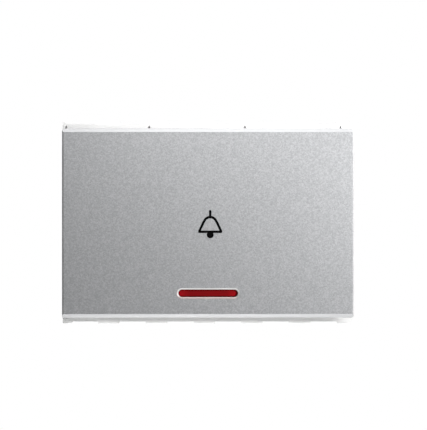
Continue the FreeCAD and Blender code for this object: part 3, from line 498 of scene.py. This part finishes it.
def boardFinish(name, finish):  # solder mask over tracks, bare fibre at the cut edges
    material, tree, shader, place = startFinish(name, finish)
    runs = addNode(tree, "ShaderNodeTexWave", {"Scale": finish["tracks"]}, bands_direction="Z")
    runs.inputs["Distortion"].default_value = 0.0
    tree.links.new(place, runs.inputs["Vector"])
    tracks = reckon(tree, "GREATER_THAN", runs.outputs["Fac"], finish["trackLevel"])
    face = blendColours(tree, tracks, finish["mask"], finish["track"])
    back = splitAxes(tree, place)[1]
    past = reckon(tree, "GREATER_THAN", back, finish["front"])
    short = reckon(tree, "LESS_THAN", back, finish["rear"])
    colour = blendColours(tree, reckon(tree, "MULTIPLY", past, short), face, finish["cut"])
    mottle = grain(tree, place, finish["mottle"])
    paint(tree, shader, colour, between(tree, mottle, *finish["rough"]))
    roughen(tree, shader, tracks, finish["relief"], finish["depth"])
    return material


lampBody = {
    "body": (0.800, 0.785, 0.740), "dimmed": 0.95, "cup": (0.720, 0.560, 0.160), "rough": (0.26, 0.36),
    "ior": 1.52, "mottle": 2200.0, "centre": (0.0, 0.0, -16.1 * mm), "radius": 1.08 * mm,
}


def lampFinish(name, finish):  # white body with a tinted cup
    material, tree, shader, place = startFinish(name, finish)
    flat = stretch(tree, shiftPlace(tree, place, finish["centre"]), (1.0, 0.0, 1.0))
    length = addNode(tree, "ShaderNodeVectorMath", operation="LENGTH")
    tree.links.new(flat, length.inputs[0])
    inside = reckon(tree, "LESS_THAN", length.outputs["Value"], finish["radius"])
    mottle = grain(tree, place, finish["mottle"])
    body = twoTone(tree, mottle, dim(finish["body"], finish["dimmed"]), finish["body"])
    colour = blendColours(tree, inside, body, finish["cup"])
    paint(tree, shader, colour, between(tree, mottle, *finish["rough"]))
    return material


resistorBody = {
    "centre": -4.6 * mm, "half": 3.0 * mm, "body": (0.620, 0.480, 0.280), "lead": (0.700, 0.700, 0.690),
    "dimmed": 0.92, "mottle": 1600.0, "rough": (0.34, 0.46), "bandHalf": 0.22 * mm,
    "bands": (
        (-2.05 * mm, (0.180, 0.055, 0.020)), (-1.10 * mm, (0.560, 0.030, 0.020)),
        (-0.15 * mm, (0.620, 0.180, 0.020)), (1.85 * mm, (0.420, 0.280, 0.060)),
    ),
}

diodeBody = {
    "centre": 4.6 * mm, "half": 2.1 * mm, "body": (0.016, 0.016, 0.017), "lead": (0.700, 0.700, 0.690),
    "dimmed": 0.92, "mottle": 1600.0, "rough": (0.26, 0.38), "bandHalf": 0.34 * mm,
    "bands": ((1.35 * mm, (0.520, 0.525, 0.530)),),
}


def leadedFinish(name, finish):  # lacquered body with rings, bare metal leads
    material, tree, shader, place = startFinish(name, finish)
    along = reckon(tree, "SUBTRACT", splitAxes(tree, place)[0], finish["centre"])
    mottle = grain(tree, place, finish["mottle"])
    colour = twoTone(tree, mottle, dim(finish["body"], finish["dimmed"]), finish["body"])
    for middle, ring in finish["bands"]:
        away = reckon(tree, "ABSOLUTE", reckon(tree, "SUBTRACT", along, middle))
        colour = blendColours(tree, reckon(tree, "LESS_THAN", away, finish["bandHalf"]), colour, ring)
    bare = reckon(tree, "GREATER_THAN", reckon(tree, "ABSOLUTE", along), finish["half"])
    colour = blendColours(tree, bare, colour, finish["lead"])
    paint(tree, shader, colour, between(tree, mottle, *finish["rough"]))
    tree.links.new(bare, shader.inputs["Metallic"])
    return material


def makeFinishes():
    finishes = {name: mouldedPlastic(name, finish) for name, finish in plastics.items()}
    finishes.update({name: drawnMetal(name, finish) for name, finish in metals.items()})
    finishes["silverLacquer"] = lacquerFinish("silverLacquer", silverLacquer)
    finishes["redLens"] = lensFinish("redLens", redLens)
    finishes["boardGreen"] = boardFinish("boardGreen", boardGreen)
    finishes["lampBody"] = lampFinish("lampBody", lampBody)
    finishes["resistorBody"] = leadedFinish("resistorBody", resistorBody)
    finishes["diodeBody"] = leadedFinish("diodeBody", diodeBody)
    return finishes


nodeFinishes = {
    "silverLacquer": ("key_plate",),
    "redLens": ("indicator_lens",),
    "whitePlastic": ("chassis", "key_carrier"),
    "greyPlastic": ("housing", "mechanism_cover"),
    "plungerPlastic": ("plunger", "bridge_retainer"),
    "copperAlloy": ("bridge_contact",),
    "contactSilver": (
        "moving_contact_left", "moving_contact_right", "fixed_contact_left", "fixed_contact_right",
    ),
    "brass": ("line_strip", "bell_strip"),
    "platedSteel": ("line_clamp", "bell_clamp"),
    "boardGreen": ("lamp_board",),
    "lampBody": ("indicator_led",),
    "resistorBody": ("dropper_resistor",),
    "diodeBody": ("blocking_diode",),
    "tinnedWire": ("lamp_link_left", "lamp_link_right"),
}


def dressNodes(finishes):
    for finish, names in nodeFinishes.items():
        for name in names:
            for slot in nodes[name].material_slots:
                slot.material = finishes[finish]


def wear(piece, material):
    piece.data.materials.clear()
    piece.data.materials.append(material)


bell = {
    "x": 0.565, "face": -9.0, "ink": 0.015, "stroke": 0.56, "facets": 32, "smoothness": 8,
    "side": ((0.910, 1.037), (1.370, 0.461), (1.890, -0.576), (2.536, -1.960)), "crown": 1.380,
    "stemTop": 3.000, "stemFoot": 1.300, "rimHeight": -2.017, "rimHalf": 2.790,
    "clapperHeight": -2.708, "clapperRadius": 0.800,
}


def inkBar(radius, first, second):  # a flat bar with round ends, from a stretched disc
    middle = (Vector(first) + Vector(second)) / 2
    reach = (Vector(second) - Vector(first)) / 2
    push = Vector((reach.x, 0, reach.y)) * mm
    halfFacet = math.radians(180 / bell["facets"])
    clearSelection()
    bpy.ops.mesh.primitive_cylinder_add(
        vertices=bell["facets"], radius=radius * mm, depth=bell["ink"] * mm,
        rotation=(math.radians(90), halfFacet, 0),
    )
    bar = bpy.context.object
    settle(bar)
    if push.length > 0:
        for sign in (1, -1):
            selectWhere(bar, "VERT", lambda co: sign * co.dot(push) > 0)
            bpy.ops.transform.translate(value=push * sign)
            bpy.ops.object.mode_set(mode="OBJECT")
    bar.location = (middle.x * mm, (bell["face"] - bell["ink"] / 2) * mm, middle.y * mm)
    settle(bar)
    return bar


def makeDome():
    right = [(x, 0.0, z) for x, z in bell["side"]]
    left = [(-x, 0.0, z) for x, z in reversed(bell["side"])]
    outline = [Vector(p) * mm for p in left + [(0.0, 0.0, bell["crown"])] + right]
    line = addCurve(outline, "BEZIER")
    line.data.resolution_u = bell["smoothness"]
    dome = meshFromCurve(line)
    dome.location = (bell["x"] * mm, bell["face"] * mm, 0.0)
    settle(dome)
    selectWhere(dome, "VERT", lambda co: True)
    bpy.ops.mesh.extrude_region_move(TRANSFORM_OT_translate={"value": (0.0, -bell["ink"] * mm, 0.0)})
    bpy.ops.object.mode_set(mode="OBJECT")
    applyModifier(dome, "SOLIDIFY", thickness=bell["stroke"] * mm, offset=0.0, use_even_offset=True)
    cleanMesh(dome, fineWeld)
    return dome


def makeBell(finish):
    sign = makeDome()
    x = bell["x"]
    half = bell["stroke"] / 2
    rimEnd = bell["rimHalf"] - half
    stem = inkBar(half, (x, bell["stemFoot"]), (x, bell["stemTop"] - half))
    rim = inkBar(half, (x - rimEnd, bell["rimHeight"]), (x + rimEnd, bell["rimHeight"]))
    clapper = inkBar(bell["clapperRadius"], (x, bell["clapperHeight"]), (x, bell["clapperHeight"]))
    for part in (stem, rim, clapper):
        combine(sign, part, "UNION")
    cleanMesh(sign, fineWeld)
    namePiece(sign, "bell_sign")
    wear(sign, finish)
    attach(sign, "key")
    print("bell sign", len(sign.data.polygons), "faces")


returnCoil = {
    "node": "return_spring", "from": "chassis", "to": "plunger", "start": 16.4, "end": 9.4,
    "low": 9.75, "high": 16.05, "turns": 6.0, "deadTurns": 0.75, "deadRise": 0.48,
    "radius": 2.35, "wire": 0.30,
}

contactCoil = {
    "node": "contact_spring", "from": "plunger", "to": "bridge", "start": 3.8, "end": 7.6,
    "low": 4.07, "high": 7.33, "turns": 3.5, "deadTurns": 0.75, "deadRise": 0.36,
    "radius": 2.15, "wire": 0.22,
}

springAxis = -2.0  # the height of the plunger's axis
coilSteps = 16
coilFullness = 6.0 / (4.0 + 2.0 * math.cos(2 * math.pi / coilSteps))  # the smooth line cuts inside its points
coilSmoothing = 50


def coilPoints(coil):  # close turns at both ends, open ones between
    live = coil["turns"] - 2 * coil["deadTurns"]
    rise = coil["high"] - coil["low"] - 2 * coil["deadRise"]
    reach = coil["radius"] * coilFullness
    points = []
    for step in range(int(coil["turns"] * coilSteps) + 1):
        turned = step / coilSteps
        below = min(turned, coil["deadTurns"])
        above = max(turned - coil["turns"] + coil["deadTurns"], 0.0)
        dead = (below + above) * coil["deadRise"] / coil["deadTurns"]
        y = coil["low"] + dead + (turned - below - above) * rise / live
        angle = 2 * math.pi * turned
        points.append(Vector((reach * math.cos(angle), y, reach * math.sin(angle) + springAxis)) * mm)
    return points


def makeCoil(name, coil, finish):
    wire = addCurve(coilPoints(coil), "NURBS")
    wire.data.dimensions = "3D"
    spline = wire.data.splines[0]
    spline.order_u = 4
    spline.use_endpoint_u = True
    wire.data.resolution_u = 3
    wire.data.bevel_depth = coil["wire"] * mm
    wire.data.bevel_resolution = 3
    wire.data.use_fill_caps = True
    spring = namePiece(meshFromCurve(wire), name)
    cleanMesh(spring, fineWeld)
    smoothPiece(spring, coilSmoothing)
    wear(spring, finish)
    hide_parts(coil["node"])
    ends = ((0.0, coil[end] * mm, springAxis * mm) for end in ("start", "end"))
    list(ends)
    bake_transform(spring)
    print(name, len(spring.data.polygons), "faces")


terminalScrew = {
    "place": (15.5, -2.0), "tip": 5.2, "seat": 11.4, "top": 13.4, "crest": 1.70, "root": 1.38, "pitch": 0.6,
    "head": 2.90, "rim": 0.50, "blade": (0.8, 8.0), "cross": (3.2, 0.8), "depth": 1.1, "point": 0.35,
}

tappingScrew = {
    "place": (-24.3, 1.5), "tip": -2.9, "seat": 2.6, "top": 4.0, "crest": 1.00, "root": 0.72, "pitch": 0.9,
    "head": 2.00, "rim": 0.35, "blade": (0.6, 2.4), "cross": (2.4, 0.6), "depth": 0.7, "point": 0.80,
    "across": 48.6, "down": -13.5,
}

screwMaking = {
    "flank": 0.42, "steps": 28, "facets": 56, "rimCuts": 4, "smoothing": 32,
    "threadInHead": 0.20, "shankInHead": 0.15, "tipTrim": 0.01, "skin": 0.001,
}


def makeThread(screw):
    x, z = screw["place"]
    pitch = screw["pitch"]
    flank = screwMaking["flank"] * pitch
    root, crest = screw["root"], screw["crest"]
    zigzag = ((root, 0.0), (crest, flank), (crest, pitch - flank), (root, pitch))
    thread = meshFromCurve(addCurve([Vector((r, y, 0.0)) * mm for r, y in zigzag], "POLY"))
    low = screw["tip"] - pitch
    thread.location = Vector((x, low, z)) * mm
    turns = math.ceil((screw["seat"] - low) / pitch) + 1
    applyModifier(
        thread, "SCREW", axis="Y", screw_offset=pitch * mm, iterations=turns, steps=screwMaking["steps"],
        render_steps=screwMaking["steps"], use_merge_vertices=False,
    )
    settle(thread)
    cleanMesh(thread, threadWeld)
    for height, outwards in ((screw["tip"], -1), (screw["seat"] + screwMaking["threadInHead"], 1)):
        pick(thread)  # each end is cut square and closed
        bpy.ops.object.mode_set(mode="EDIT")
        bpy.ops.mesh.select_all(action="SELECT")
        bpy.ops.mesh.bisect(
            plane_co=(x * mm, height * mm, z * mm), plane_no=(0, outwards, 0), use_fill=True, clear_outer=True
        )
        bpy.ops.object.mode_set(mode="OBJECT")
    cleanMesh(thread, threadWeld)
    return thread


def turnedBlank(screw, radius, low, high, rimEdge, rim, cuts):  # a round blank with one bevelled rim
    x, z = screw["place"]
    clearSelection()
    bpy.ops.mesh.primitive_cylinder_add(
        vertices=screwMaking["facets"], radius=radius * mm, depth=(high - low) * mm,
        rotation=(math.radians(90), 0, 0), location=(x * mm, (low + high) / 2 * mm, z * mm),
    )
    blank = bpy.context.object
    settle(blank)
    selectWhere(blank, "EDGE", lambda co: abs(co.y - rimEdge * mm) < sameHeight)
    bpy.ops.mesh.bevel(offset=rim * mm, segments=cuts, profile=0.5, affect="EDGES")
    bpy.ops.object.mode_set(mode="OBJECT")
    return blank


def driverRecess(screw, wide, high):
    x, z = screw["place"]
    clearSelection()
    bpy.ops.mesh.primitive_cube_add(size=1.0, location=(x * mm, screw["top"] * mm, z * mm))
    cutter = bpy.context.object
    cutter.scale = (wide * mm, 2 * screw["depth"] * mm, high * mm)
    settle(cutter)
    return cutter


def makeScrew(name, screw, finish):
    shank = makeThread(screw)
    start = screw["tip"] + screwMaking["tipTrim"]
    end = screw["seat"] + screwMaking["shankInHead"]
    envelope = turnedBlank(screw, screw["crest"] + screwMaking["skin"], start, end, start, screw["point"], 1)
    combine(shank, envelope, "INTERSECT")  # bevels the thread's start
    seat, top = screw["seat"], screw["top"]
    body = turnedBlank(screw, screw["head"], seat, top, top, screw["rim"], screwMaking["rimCuts"])
    combine(body, shank, "UNION")
    for wide, high in (screw["blade"], screw["cross"]):
        combine(body, driverRecess(screw, wide, high), "DIFFERENCE")
    cleanMesh(body, threadWeld)
    namePiece(body, name)
    smoothPiece(body, screwMaking["smoothing"])
    wear(body, finish)
    print(name, len(body.data.polygons), "faces")
    return body


def makeScrews(finish):
    right = makeScrew("bell_terminal_screw", terminalScrew, finish)
    across = -2 * terminalScrew["place"][0]
    left = copyPiece(right, "line_terminal_screw", (across * mm, 0.0, 0.0))
    for screw, body in ((right, "bell_screw"), (left, "line_screw")):
        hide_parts(body)
        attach(screw, body)
    first = makeScrew("tapping_screw_1", tappingScrew, finish)
    columns, rows = (0.0, tappingScrew["across"]), (0.0, tappingScrew["down"])
    shifts = [(across, down) for across in columns for down in rows]
    for number, (across, down) in enumerate(shifts, 1):
        screw = first
        if number > 1:
            screw = copyPiece(first, f"tapping_screw_{number}", (across * mm, 0.0, down * mm))
        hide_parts(f"housing_screw_{number}")
        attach(screw, "chassis")


paleFloor = {
    "half": 0.37, "middle": -0.08, "height": -0.100, "tone": (0.86, 0.86, 0.86), "dimmed": 0.98,
    "rough": 0.8, "speckle": 160.0, "pale": 0.82,
}


def makeFloor():  # pale where the camera sees it, with the object's shadow kept
    clearSelection()
    bpy.ops.mesh.primitive_plane_add(
        size=2 * paleFloor["half"], location=(0.0, paleFloor["middle"], paleFloor["height"])
    )
    floor = namePiece(bpy.context.object, "studio_floor")
    settle(floor)
    material = bpy.data.materials.new("paleFloor")
    material.use_nodes = True
    tree = material.node_tree
    shader = tree.nodes["Principled BSDF"]
    shader.inputs["Roughness"].default_value = paleFloor["rough"]
    place = addNode(tree, "ShaderNodeTexCoord")
    speckle = grain(tree, place.outputs["Object"], paleFloor["speckle"])
    colour = twoTone(tree, speckle, dim(paleFloor["tone"], paleFloor["dimmed"]), paleFloor["tone"])
    tree.links.new(colour, shader.inputs["Base Color"])
    pale = addNode(tree, "ShaderNodeEmission", {"Color": pureWhite, "Strength": studio["white"]})
    share = reckon(tree, "MULTIPLY", seenRays(tree), paleFloor["pale"])
    both = mixShaders(tree, share, shader.outputs["BSDF"], pale.outputs["Emission"])
    tree.links.new(both, tree.nodes["Material Output"].inputs["Surface"])
    wear(floor, material)


bpy.context.scene.view_settings.view_transform = "Standard"
makeCamera()
makeLamps()
makeWorld()
makeFloor()
print("studio ready")
finishes = makeFinishes()
dressNodes(finishes)
print("finishes", len(finishes))
makeBell(finishes["bellPrint"])
makeCoil("return_coil", returnCoil, finishes["springSteel"])
makeCoil("contact_coil", contactCoil, finishes["springSteel"])
makeScrews(finishes["platedSteel"])
print("pieces done")
